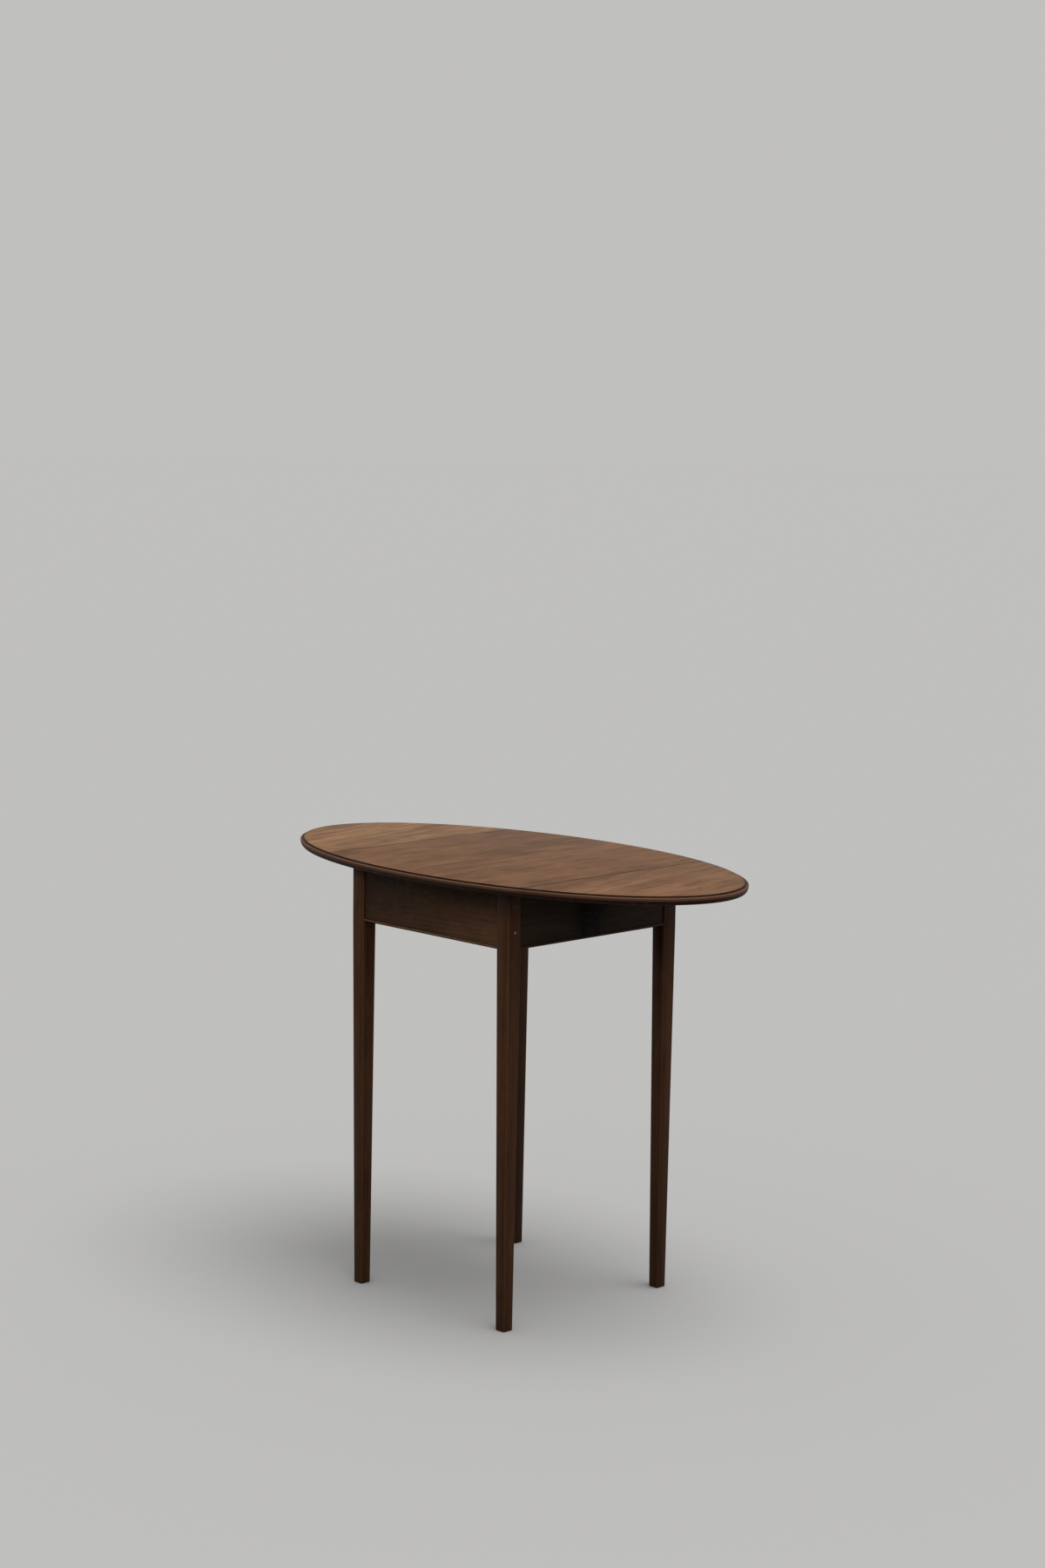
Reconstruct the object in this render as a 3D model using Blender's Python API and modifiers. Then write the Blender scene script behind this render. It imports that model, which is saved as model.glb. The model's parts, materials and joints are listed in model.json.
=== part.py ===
"""Oval drop-leaf occasional table: a fixed centre board, two leaves on rule joints, a pegged frame of four
tapered legs, and a wooden fly bracket on each side that swings out on a knuckle joint to hold its leaf up.

The frame has +Z up, X across the leaves and Y along the hinge lines, with the origin on the floor under the
middle of the top. The table turns into itself by half a turn about Z, so everything but the centre board is
built once for the right side (+X) and once more for the left, each under its own empty. The leaves are up
and the brackets stand square to the aprons.
"""

import math

import bmesh
import bpy
from mathutils import Matrix, Vector

# Overall sizes, in metres
TABLE_HEIGHT = 0.700
TOP_LENGTH = 0.900
TOP_WIDTH = 0.473
TOP_THICKNESS = 0.0135
CENTRE_BOARD_WIDTH = 0.4386

# Moulded edge of the top: a square step down from the field, then a nose, full at the top and rounded under
EDGE_STEP_INSET = 0.006
EDGE_STEP_HEIGHT = 0.002
EDGE_NOSE_DEPTH = 0.005
EDGE_NOSE_DROP = 0.0015
EDGE_UNDERCUT = 0.0065

# Rule joint between the centre board and a leaf
HINGE_AXIS_RISE = 0.003
OVOLO_RADIUS = 0.008
RULE_JOINT_GAP = 0.0006

# Frame, set in from the hinge lines and from the ends of the top
HINGE_OVERHANG = 0.0393
END_OVERHANG = 0.0525
LEG_SIZE = 0.0263
FOOT_SIZE = 0.0187
LEG_EASING = 0.0016
APRON_DEPTH = 0.0912
APRON_SETBACK = 0.003
END_APRON_THICKNESS = 0.018
FLY_THICKNESS = 0.012
INNER_RAIL_THICKNESS = 0.013
BEAD_HEIGHT = 0.0043
BEAD_PROJECTION = 0.002

# Tenons and pegs
SIDE_TENON_THICKNESS = 0.006
SIDE_TENON_LENGTH = 0.019
END_TENON_THICKNESS = 0.008
TENON_WALL = 0.0035
TENON_SHOULDER = 0.011
TENON_ROOT = 0.006
PEG_DIAMETER = 0.005
PEG_DEPTH_IN_TENON = 0.0125
PEG_TOP_MARGIN = 0.023
PEG_BOTTOM_MARGIN = 0.0225
PEG_PROUD = 0.0004
PEG_BEYOND_TENON = 0.0015

# Fly bracket, measured out from its knuckle pin and up from the underside of the top
KNUCKLE_PIN_Y = -0.014
KNUCKLE_PIN_DIAMETER = 0.004
KNUCKLE_PIN_TOP_EXTRA = 0.006
KNUCKLE_COUNT = 5
KNUCKLE_SHOULDER_GAP = 0.0005
BRACKET_LIFT = 0.002
POST_LENGTH = 0.026
COVE_START_HEIGHT = 0.0252
COVE_SAG = 0.003
COVE_LENGTH = 0.042
ARM_LENGTH = 0.080
ARM_DEPTH = 0.012
ARM_DROP = 0.014
RECESS_CLEARANCE = 0.0012

# Stop block under a leaf: the bracket comes up against its stop and bears under its ramp
STOP_BLOCK_OFFSET = 0.008
STOP_BLOCK_LENGTH = 0.018
STOP_WIDTH = 0.010
STOP_DROP = 0.008
RAMP_RUN = 0.020
RAMP_SLOPE = 0.44

# Back-flap hinges
HINGE_END_INSET = 0.1115
HINGE_WIDTH = 0.040
FIXED_FLAP_WIDTH = 0.026
LEAF_FLAP_WIDTH = 0.040
FLAP_THICKNESS = 0.0018
HINGE_KNUCKLE_CLEARANCE = 0.0006
HINGE_PIN_DIAMETER = 0.0024

# Glue blocks between the end aprons and the centre board
GLUE_BLOCK_SPACING = 0.170
GLUE_BLOCK_LENGTH = 0.050
GLUE_BLOCK_SIZE = 0.020
GLUE_BLOCK_TOE = 0.003

# Clearance between touching pieces, overrun of a cutter past the face that it opens, and facets
GAP = 0.0003
OVERRUN = 0.001
OVAL_SEGMENTS = 120
NOSE_STEPS = 3
UNDERCUT_STEPS = 4
ARC_STEPS = 8
ROUND_SEGMENTS = 24
PEG_SEGMENTS = 16

# Heights that follow
UNDERSIDE = TABLE_HEIGHT - TOP_THICKNESS
FRAME_TOP = UNDERSIDE - GAP
BEAD_BOTTOM = UNDERSIDE - APRON_DEPTH
BEAD_TOP = BEAD_BOTTOM + BEAD_HEIGHT
APRON_BOTTOM = BEAD_TOP + GAP
TENON_BOTTOM = APRON_BOTTOM + TENON_SHOULDER
TENON_TOP = FRAME_TOP - TENON_SHOULDER
HINGE_Z = UNDERSIDE + HINGE_AXIS_RISE
KNUCKLE_RADIUS = HINGE_AXIS_RISE - GAP / 3
FLAP_LOW = HINGE_Z - KNUCKLE_RADIUS
FLAP_HIGH = FLAP_LOW + FLAP_THICKNESS
ARM_TOP = UNDERSIDE - ARM_DROP
ARM_UNDERSIDE = ARM_TOP - ARM_DEPTH
BRACKET_BOTTOM = APRON_BOTTOM + BRACKET_LIFT
COVE_START = BRACKET_BOTTOM + COVE_START_HEIGHT

# Places that follow, on the right side
HINGE_X = CENTRE_BOARD_WIDTH / 2
HINGE_SPACING = TOP_WIDTH - 2 * HINGE_END_INSET
LEG_OUTER_X = HINGE_X - HINGE_OVERHANG
LEG_INNER_X = LEG_OUTER_X - LEG_SIZE
LEG_OUTER_Y = TOP_WIDTH / 2 - END_OVERHANG
LEG_INNER_Y = LEG_OUTER_Y - LEG_SIZE
FLY_OUTER_X = LEG_OUTER_X - APRON_SETBACK
FLY_INNER_X = FLY_OUTER_X - FLY_THICKNESS
FLY_MIDDLE_X = (FLY_OUTER_X + FLY_INNER_X) / 2
RAIL_OUTER_X = FLY_INNER_X - GAP
RAIL_INNER_X = RAIL_OUTER_X - INNER_RAIL_THICKNESS
END_OUTER_Y = LEG_OUTER_Y - APRON_SETBACK
END_INNER_Y = END_OUTER_Y - END_APRON_THICKNESS
SIDE_TENON_INNER_X = FLY_MIDDLE_X - SIDE_TENON_THICKNESS / 2
END_TENON_TIP_X = SIDE_TENON_INNER_X - TENON_WALL
PEG_Y = LEG_INNER_Y + PEG_DEPTH_IN_TENON
PEG_HEIGHTS = {"upper": FRAME_TOP - PEG_TOP_MARGIN, "lower": APRON_BOTTOM + PEG_BOTTOM_MARGIN}
KNUCKLE_STEP = (ARM_TOP - BRACKET_BOTTOM) / KNUCKLE_COUNT
KNUCKLE_SHOULDER = FLY_THICKNESS / 2 + KNUCKLE_SHOULDER_GAP
COVE_RADIUS = OVOLO_RADIUS + RULE_JOINT_GAP

# Planes in which an outline is drawn: first and second outline axis, then the way it is extruded
PLANE_XY = Matrix(((1, 0, 0), (0, 1, 0), (0, 0, 1))).to_4x4()
PLANE_XZ = Matrix(((1, 0, 0), (0, 0, -1), (0, 1, 0))).to_4x4()
PLANE_YZ = Matrix(((0, 0, 1), (1, 0, 0), (0, 1, 0))).to_4x4()

# Colour, roughness and metallic value of each finish
FINISHES = {
    "centre_board_wood": ((0.165, 0.076, 0.032), 0.55, 0.0),
    "leaf_wood": ((0.220, 0.108, 0.047), 0.55, 0.0),
    "leg_wood": ((0.096, 0.037, 0.015), 0.50, 0.0),
    "apron_wood": ((0.078, 0.042, 0.024), 0.55, 0.0),
    "bead_wood": ((0.078, 0.037, 0.018), 0.50, 0.0),
    "inner_wood": ((0.148, 0.084, 0.044), 0.75, 0.0),
    "bracket_wood": ((0.050, 0.044, 0.037), 0.70, 0.0),
    "peg_wood": ((0.320, 0.220, 0.140), 0.60, 0.0),
    "hinge_iron": ((0.070, 0.062, 0.055), 0.55, 1.0),
    "pin_steel": ((0.220, 0.210, 0.200), 0.40, 1.0),
}


def clear_scene():
    for obj in list(bpy.data.objects):
        bpy.data.objects.remove(obj)


def new_collection(name):
    collection = bpy.data.collections.new(name)
    bpy.context.scene.collection.children.link(collection)
    return collection


def finish(name):
    colour, roughness, metallic = FINISHES[name]
    material = bpy.data.materials.new(name)
    material.use_nodes = True
    shader = material.node_tree.nodes["Principled BSDF"]
    shader.inputs["Base Color"].default_value = (*colour, 1)
    shader.inputs["Roughness"].default_value = roughness
    shader.inputs["Metallic"].default_value = metallic
    return material


clear_scene()
PARTS = new_collection("butterfly_table")
CUTTERS = new_collection("butterfly_table_cutters")
MATERIALS = {name: finish(name) for name in FINISHES}


def mesh_object(name, bm):
    """A new object from a finished bmesh, with its faces pointing out."""
    bmesh.ops.recalc_face_normals(bm, faces=bm.faces)
    if bm.calc_volume(signed=True) < 0:
        bmesh.ops.reverse_faces(bm, faces=bm.faces)
    mesh = bpy.data.meshes.new(name)
    bm.to_mesh(mesh)
    bm.free()
    return bpy.data.objects.new(name, mesh)


def box(name, low, high):
    low, high = Vector(low), Vector(high)
    bm = bmesh.new()
    place = Matrix.Translation((low + high) / 2) @ Matrix.Diagonal((*(high - low), 1))
    bmesh.ops.create_cube(bm, size=1, matrix=place)
    return mesh_object(name, bm)


def cylinder(name, radius, start, end, segments=ROUND_SEGMENTS):
    start, end = Vector(start), Vector(end)
    along = end - start
    place = Matrix.Translation((start + end) / 2) @ along.to_track_quat("Z", "Y").to_matrix().to_4x4()
    bm = bmesh.new()
    bmesh.ops.create_cone(
        bm, cap_ends=True, segments=segments, radius1=radius, radius2=radius, depth=along.length, matrix=place
    )
    return mesh_object(name, bm)


def prism(name, plane, outline, low, high):
    """A flat outline drawn in a plane, extruded from low to high along the plane's normal."""
    curve = bpy.data.curves.new(name, "CURVE")
    curve.dimensions = "2D"
    curve.fill_mode = "BOTH"
    curve.extrude = (high - low) / 2
    spline = curve.splines.new("POLY")
    spline.points.add(len(outline) - 1)
    spline.use_cyclic_u = True
    for point, (u, v) in zip(spline.points, outline):
        point.co = (u, v, 0, 1)
    flat = bpy.data.objects.new(name, curve)
    bpy.context.scene.collection.objects.link(flat)
    bpy.context.view_layer.update()
    mesh = bpy.data.meshes.new_from_object(flat.evaluated_get(bpy.context.evaluated_depsgraph_get()))
    bpy.data.objects.remove(flat)
    bm = bmesh.new()
    bm.from_mesh(mesh)
    bpy.data.meshes.remove(mesh)
    bmesh.ops.remove_doubles(bm, verts=bm.verts, dist=1e-6)
    normal = plane.to_3x3().col[2]
    bmesh.ops.transform(bm, matrix=Matrix.Translation(normal * (low + high) / 2) @ plane, verts=bm.verts)
    return mesh_object(name, bm)


def arc(centre, radius, first, last, steps=ARC_STEPS):
    """Points along an arc, from the first to the last angle in degrees."""
    angles = [math.radians(first + (last - first) * step / steps) for step in range(steps + 1)]
    return [(centre[0] + radius * math.cos(a), centre[1] + radius * math.sin(a)) for a in angles]


def boolean(obj, other, operation="DIFFERENCE"):
    modifier = obj.modifiers.new(f"{operation.lower()} {other.name}", "BOOLEAN")
    modifier.operation = operation
    modifier.solver = "EXACT"
    modifier.object = other


def helper(obj, side):
    """A cutter, or a shape that is joined to a part."""
    CUTTERS.objects.link(obj)
    obj.parent = side
    obj.hide_render = True
    obj.display_type = "WIRE"
    return obj


def part(obj, side, finish_name, smooth_angle=35):
    PARTS.objects.link(obj)
    obj.parent = side
    obj.data.materials.append(MATERIALS[finish_name])
    obj.data.shade_smooth()
    obj.data.set_sharp_from_angle(angle=math.radians(smooth_angle))
    return obj


def set_origin(obj, point):
    """Moves the object's origin to a point on its joint's axis, with the shape left where it is."""
    obj.data.transform(Matrix.Translation(-Vector(point)))
    obj.location = point


def edge_profile():
    """(inset, height) down the moulded edge, from the field of the top to the underside."""
    nose_top = TABLE_HEIGHT - EDGE_STEP_HEIGHT
    widest = nose_top - EDGE_NOSE_DROP
    profile = [(EDGE_STEP_INSET, TABLE_HEIGHT), (EDGE_STEP_INSET, nose_top)]
    for step in range(NOSE_STEPS):
        turn = math.pi / 2 * (1 - step / NOSE_STEPS)
        profile.append((EDGE_NOSE_DEPTH * (1 - math.cos(turn)), widest + EDGE_NOSE_DROP * math.sin(turn)))
    for step in range(UNDERCUT_STEPS + 1):
        turn = math.pi / 2 * step / UNDERCUT_STEPS
        profile.append((EDGE_UNDERCUT * (1 - math.cos(turn)), widest - (widest - UNDERSIDE) * math.sin(turn)))
    return profile


def extruded_rim(bm, rim):
    """A copy of the rim, joined to it by a new band of faces."""
    grown = bmesh.ops.extrude_edge_only(bm, edges=rim)["geom"]
    corners = {item for item in grown if isinstance(item, bmesh.types.BMVert)}
    edges = [item for item in grown if isinstance(item, bmesh.types.BMEdge)]
    return [edge for edge in edges if corners.issuperset(edge.verts)]


def oval_slab(name):
    """The whole moulded top, its rim extruded from oval to oval down its edge."""
    bm = bmesh.new()
    bmesh.ops.create_circle(bm, segments=OVAL_SEGMENTS, radius=1, cap_ends=True)
    rim = bm.edges[:]
    half_length, half_width = 1, 1
    for ring, (inset, height) in enumerate(edge_profile()):
        if ring:
            rim = extruded_rim(bm, rim)
        stretch_x = (TOP_LENGTH / 2 - inset) / half_length
        stretch_y = (TOP_WIDTH / 2 - inset) / half_width
        for vert in {vert for edge in rim for vert in edge.verts}:
            vert.co = (vert.co.x * stretch_x, vert.co.y * stretch_y, height)
        half_length, half_width = TOP_LENGTH / 2 - inset, TOP_WIDTH / 2 - inset
    bmesh.ops.holes_fill(bm, edges=rim)
    return mesh_object(name, bm)


def centre_board_cutter(name, side):
    """All that lies outside the centre board's ovolo edge on one side."""
    far = TOP_LENGTH
    below, above = UNDERSIDE - OVERRUN, TABLE_HEIGHT + OVERRUN
    ovolo = arc((HINGE_X, HINGE_Z), OVOLO_RADIUS, 90, 0)
    outline = [(HINGE_X, above), *ovolo, (HINGE_X + OVOLO_RADIUS, below), (far, below), (far, above)]
    return helper(prism(name, PLANE_XZ, outline, -TOP_WIDTH, TOP_WIDTH), side)


def leaf_region(name, side):
    """The space of one leaf: outside the cove that turns round the ovolo."""
    far = TOP_LENGTH
    below, above = UNDERSIDE - OVERRUN, TABLE_HEIGHT + OVERRUN
    first = 90 - math.degrees(math.asin(RULE_JOINT_GAP / COVE_RADIUS))
    last = -math.degrees(math.asin(HINGE_AXIS_RISE / COVE_RADIUS))
    cove = arc((HINGE_X, HINGE_Z), COVE_RADIUS / math.cos(math.radians(90 / ARC_STEPS / 2)), first, last)
    outline = [(cove[0][0], above), *cove, (cove[-1][0], below), (far, below), (far, above)]
    return helper(prism(name, PLANE_XZ, outline, -TOP_WIDTH, TOP_WIDTH), side)


def hinge_mortises(label, side, place, y):
    """Cutters for one hinge: the flaps' mortise in the centre board and its knuckle slot, then the leaf's."""
    near, far = y - HINGE_WIDTH / 2 - GAP, y + HINGE_WIDTH / 2 + GAP
    below, roof = UNDERSIDE - OVERRUN, FLAP_HIGH + GAP
    inner = HINGE_X - FIXED_FLAP_WIDTH - GAP
    joint = HINGE_X + OVOLO_RADIUS
    outer = HINGE_X + LEAF_FLAP_WIDTH + GAP
    board = box(f"{label}_{place}_board_mortise", (inner, near, below), (joint + OVERRUN, far, roof))
    slot_ends = (HINGE_X, near, HINGE_Z), (HINGE_X, far, HINGE_Z)
    slot = cylinder(f"{label}_{place}_knuckle_slot", KNUCKLE_RADIUS + GAP, *slot_ends)
    leaf = box(f"{label}_{place}_leaf_mortise", (joint - OVERRUN, near, below), (outer, far, roof))
    return [helper(cutter, side) for cutter in (board, slot, leaf)]


def knuckle_outline(direction):
    """Side outline of a hinge knuckle with the tab that joins it to its flap, which lies along direction."""
    tab = HINGE_X + direction * (KNUCKLE_RADIUS + HINGE_KNUCKLE_CLEARANCE + OVERRUN)
    meet = math.degrees(math.asin((FLAP_HIGH - HINGE_Z) / KNUCKLE_RADIUS))
    last = 180 - meet if direction < 0 else -360 + meet
    barrel = arc((HINGE_X, HINGE_Z), KNUCKLE_RADIUS, -90, last, ROUND_SEGMENTS)
    return [(tab, FLAP_LOW), *barrel, (tab, FLAP_HIGH)]


def hinge(label, side, place, y):
    """One back-flap hinge: the fixed flap holds the two outer knuckles, the leaf's flap the middle one."""
    third = HINGE_WIDTH / 3
    half = HINGE_WIDTH / 2
    clear = KNUCKLE_RADIUS + HINGE_KNUCKLE_CLEARANCE
    axis_ends = (HINGE_X, y - half, HINGE_Z), (HINGE_X, y + half, HINGE_Z)
    bore_ends = (HINGE_X, y - half - OVERRUN, HINGE_Z), (HINGE_X, y + half + OVERRUN, HINGE_Z)
    bore = helper(cylinder(f"{label}_{place}_pin_bore", HINGE_PIN_DIAMETER / 2 + GAP, *bore_ends), side)
    flaps = {
        "fixed_flap": (-1, FIXED_FLAP_WIDTH, ((-half, -third / 2 - GAP), (third / 2 + GAP, half))),
        "leaf_flap": (1, LEAF_FLAP_WIDTH, ((-third / 2, third / 2),)),
    }
    for flap, (direction, width, knuckles) in flaps.items():
        edges = sorted((HINGE_X + direction * clear, HINGE_X + direction * width))
        name = f"{label}_{place}_hinge_{flap}"
        plate = box(name, (edges[0], y - half, FLAP_LOW), (edges[1], y + half, FLAP_HIGH))
        for number, (start, end) in enumerate(knuckles, 1):
            # The outline's plane faces -Y, so the span along Y is turned round.
            outline = knuckle_outline(direction)
            knuckle = prism(f"{name}_knuckle_{number}", PLANE_XZ, outline, -y - end, -y - start)
            boolean(plate, helper(knuckle, side), "UNION")
        boolean(plate, bore)
        part(plate, side, "hinge_iron")
        if direction > 0:
            set_origin(plate, (HINGE_X, 0, HINGE_Z))
    part(cylinder(f"{label}_{place}_hinge_pin", HINGE_PIN_DIAMETER / 2, *axis_ends), side, "pin_steel")


def leg(name, side, y_sign, cutters):
    """A leg, square down to the bead and tapered on all four faces from there to the foot."""
    bm = bmesh.new()
    height = Matrix.Translation((0, 0, FRAME_TOP / 2)) @ Matrix.Diagonal((LEG_SIZE, LEG_SIZE, FRAME_TOP, 1))
    bmesh.ops.create_cube(bm, size=1, matrix=height)
    geometry = bm.verts[:] + bm.edges[:] + bm.faces[:]
    bmesh.ops.bisect_plane(bm, geom=geometry, plane_co=(0, 0, BEAD_BOTTOM), plane_no=(0, 0, 1))
    taper = FOOT_SIZE / LEG_SIZE
    for vert in bm.verts:
        if vert.co.z < BEAD_BOTTOM / 2:
            vert.co.x *= taper
            vert.co.y *= taper
    middle = (LEG_OUTER_X - LEG_SIZE / 2, y_sign * (LEG_OUTER_Y - LEG_SIZE / 2), 0)
    bmesh.ops.translate(bm, vec=middle, verts=bm.verts)
    obj = mesh_object(name, bm)
    easing = obj.modifiers.new("eased corners", "BEVEL")
    easing.width = LEG_EASING
    easing.segments = 2
    easing.limit_method = "ANGLE"
    for cutter in cutters:
        boolean(obj, cutter)
    part(obj, side, "leg_wood")


def side_tenon(name, y_sign, grow):
    """The tenon of a fly rail or side panel, or its mortise with grow as the clearance."""
    tip = LEG_INNER_Y + SIDE_TENON_LENGTH + grow
    root = LEG_INNER_Y - TENON_ROOT
    low_y, high_y = sorted((y_sign * tip, y_sign * root))
    half = SIDE_TENON_THICKNESS / 2 + grow
    low = (FLY_MIDDLE_X - half, low_y, TENON_BOTTOM - grow)
    return box(name, low, (FLY_MIDDLE_X + half, high_y, TENON_TOP + grow))


def end_tenon(name, x_sign, y_sign, grow):
    """The tenon of an end apron, or its mortise with grow as the clearance."""
    low_x, high_x = sorted((x_sign * (END_TENON_TIP_X + grow), x_sign * (LEG_INNER_X - TENON_ROOT)))
    middle = y_sign * (END_OUTER_Y + END_INNER_Y) / 2
    half = END_TENON_THICKNESS / 2 + grow
    return box(name, (low_x, middle - half, TENON_BOTTOM - grow), (high_x, middle + half, TENON_TOP + grow))


def pegs(label, side, place, y_sign):
    """Both pegs of one leg, and the holes that they fill through the leg and the tenon."""
    holes = []
    start = SIDE_TENON_INNER_X - PEG_BEYOND_TENON
    end = LEG_OUTER_X + PEG_PROUD
    for level, z in PEG_HEIGHTS.items():
        y = y_sign * PEG_Y
        name = f"{label}_{place}_{level}_peg"
        peg = cylinder(name, PEG_DIAMETER / 2, (start, y, z), (end, y, z), PEG_SEGMENTS)
        part(peg, side, "peg_wood")
        hole_ends = (start - GAP, y, z), (end + OVERRUN, y, z)
        holes.append(helper(cylinder(f"{name}_hole", PEG_DIAMETER / 2 + GAP, *hole_ends, PEG_SEGMENTS), side))
    return holes


def knuckle_level(number):
    return BRACKET_BOTTOM + KNUCKLE_STEP * number


def knuckle_slot(name, low_z, high_z, low_reach, high_reach, along_x):
    """A slot across a knuckle barrel: the reaches run along the piece that is cut, out from the pin."""
    wide = FLY_THICKNESS
    if along_x:
        low = (FLY_MIDDLE_X + low_reach, KNUCKLE_PIN_Y - wide, low_z)
        high = (FLY_MIDDLE_X + high_reach, KNUCKLE_PIN_Y + wide, high_z)
    else:
        low = (FLY_MIDDLE_X - wide, KNUCKLE_PIN_Y + low_reach, low_z)
        high = (FLY_MIDDLE_X + wide, KNUCKLE_PIN_Y + high_reach, high_z)
    return box(name, low, high)


def fly_rail(label, side, pin_bore, peg_holes):
    """The fixed length of the outer rail, from its leg to the knuckle joint."""
    name = f"{label}_fly_rail"
    shoulder = -LEG_INNER_Y + GAP
    barrel = arc((FLY_MIDDLE_X, KNUCKLE_PIN_Y), FLY_THICKNESS / 2, 0, 180, ROUND_SEGMENTS // 2)
    outline = [(FLY_INNER_X, shoulder), (FLY_OUTER_X, shoulder), *barrel]
    rail = prism(name, PLANE_XY, outline, APRON_BOTTOM, FRAME_TOP)
    boolean(rail, helper(side_tenon(f"{name}_tenon", -1, 0), side), "UNION")
    for number in range(1, KNUCKLE_COUNT, 2):
        low_z, high_z = knuckle_level(number), knuckle_level(number + 1)
        slot = knuckle_slot(f"{name}_slot_{number}", low_z, high_z, -KNUCKLE_SHOULDER, FLY_THICKNESS, False)
        boolean(rail, helper(slot, side))
    for cutter in (pin_bore, *peg_holes):
        boolean(rail, cutter)
    part(rail, side, "apron_wood")


def under_arm(clearance):
    """(reach, height) along the bracket's lower edge: up its post, round the cove and out along its arm."""
    start = Vector((POST_LENGTH, COVE_START))
    end = Vector((POST_LENGTH + COVE_LENGTH, ARM_UNDERSIDE))
    chord = end - start
    radius = (chord.length**2 / 4 + COVE_SAG**2) / (2 * COVE_SAG)
    inward = Vector((chord.y, -chord.x)).normalized()
    centre = (start + end) / 2 + inward * (radius - COVE_SAG)
    first = math.degrees(math.atan2(*(start - centre).yx))
    last = math.degrees(math.atan2(*(end - centre).yx))
    return [(reach + clearance, height - clearance) for reach, height in arc(centre, radius, first, last)]


def fly_bracket(label, side, pin_bore):
    """The wing that swings out on the knuckle pin, drawn square to the apron."""
    name = f"{label}_fly_bracket"
    half = FLY_THICKNESS / 2
    tip_x = FLY_MIDDLE_X + ARM_LENGTH - half
    outline = arc((FLY_MIDDLE_X, KNUCKLE_PIN_Y), half, 90, 270, ROUND_SEGMENTS // 2)
    outline += arc((tip_x, KNUCKLE_PIN_Y), half, -90, 90, ROUND_SEGMENTS // 2)
    bracket = prism(name, PLANE_XY, outline, BRACKET_BOTTOM, ARM_TOP)
    far = FLY_MIDDLE_X + ARM_LENGTH + OVERRUN
    below = BRACKET_BOTTOM - OVERRUN
    profile = [(FLY_MIDDLE_X + reach, height) for reach, height in under_arm(0)]
    waste = [(profile[0][0], below), *profile, (far, ARM_UNDERSIDE), (far, below)]
    across = -KNUCKLE_PIN_Y
    waste_cutter = prism(f"{name}_waste", PLANE_XZ, waste, across - FLY_THICKNESS, across + FLY_THICKNESS)
    boolean(bracket, helper(waste_cutter, side))
    for number in range(0, KNUCKLE_COUNT, 2):
        low_z = knuckle_level(number) - (GAP if number else OVERRUN)
        high_z = knuckle_level(number + 1) + (GAP if number + 1 < KNUCKLE_COUNT else OVERRUN)
        slot = knuckle_slot(f"{name}_slot_{number}", low_z, high_z, -FLY_THICKNESS, KNUCKLE_SHOULDER, True)
        boolean(bracket, helper(slot, side))
    boolean(bracket, pin_bore)
    part(bracket, side, "bracket_wood")
    set_origin(bracket, (FLY_MIDDLE_X, KNUCKLE_PIN_Y, 0))


def side_panel(label, side, peg_holes):
    """The rest of the outer rail, its end cut to the shape of the closed bracket."""
    name = f"{label}_side_panel"
    shoulder = LEG_INNER_Y - GAP
    profile = [(KNUCKLE_PIN_Y + reach, height) for reach, height in under_arm(RECESS_CLEARANCE)]
    tip = KNUCKLE_PIN_Y + ARM_LENGTH + RECESS_CLEARANCE
    outline = [
        (shoulder, APRON_BOTTOM),
        (shoulder, FRAME_TOP),
        (tip, FRAME_TOP),
        (tip, profile[-1][1]),
        *reversed(profile),
        (profile[0][0], APRON_BOTTOM),
    ]
    panel = prism(name, PLANE_YZ, outline, FLY_INNER_X, FLY_OUTER_X)
    boolean(panel, helper(side_tenon(f"{name}_tenon", 1, 0), side), "UNION")
    for hole in peg_holes:
        boolean(panel, hole)
    part(panel, side, "apron_wood")


def end_apron(name, side):
    """The apron across one end, with a stub tenon into each leg."""
    reach = LEG_INNER_X - GAP
    apron = box(name, (-reach, -END_OUTER_Y, APRON_BOTTOM), (reach, -END_INNER_Y, FRAME_TOP))
    for tenon_label, x_sign in (("left", -1), ("right", 1)):
        boolean(apron, helper(end_tenon(f"{name}_{tenon_label}_tenon", x_sign, -1, 0), side), "UNION")
    part(apron, side, "apron_wood")


def bead(name, side, plane, back, face, low, high):
    """A strip along the bottom of an apron, from its back to a half-round nose proud of its face."""
    outward = math.copysign(1, face - back)
    radius = BEAD_HEIGHT / 2
    nose = face + outward * (BEAD_PROJECTION - radius)
    ends = (-90, 90) if outward > 0 else (270, 90)
    outline = [(back, BEAD_BOTTOM), *arc((nose, BEAD_BOTTOM + radius), radius, *ends), (back, BEAD_TOP)]
    part(prism(name, plane, outline, low, high), side, "bead_wood")


def stop_block(label, side):
    """The block under a leaf that stops the open bracket and rides up off it as the bracket turns away."""
    name = f"{label}_stop_block"
    face = KNUCKLE_PIN_Y - FLY_THICKNESS / 2
    stop = face - GAP
    bearing = ARM_TOP + GAP
    top = UNDERSIDE - GAP
    outline = [
        (stop - STOP_WIDTH, top),
        (stop - STOP_WIDTH, ARM_TOP - STOP_DROP),
        (stop, ARM_TOP - STOP_DROP),
        (stop, bearing),
        (stop + RAMP_RUN, bearing + RAMP_RUN * RAMP_SLOPE),
        (stop + RAMP_RUN, top),
    ]
    start = HINGE_X + STOP_BLOCK_OFFSET
    block = prism(name, PLANE_YZ, outline, start, start + STOP_BLOCK_LENGTH)
    part(block, side, "inner_wood")
    set_origin(block, (HINGE_X, 0, HINGE_Z))


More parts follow.
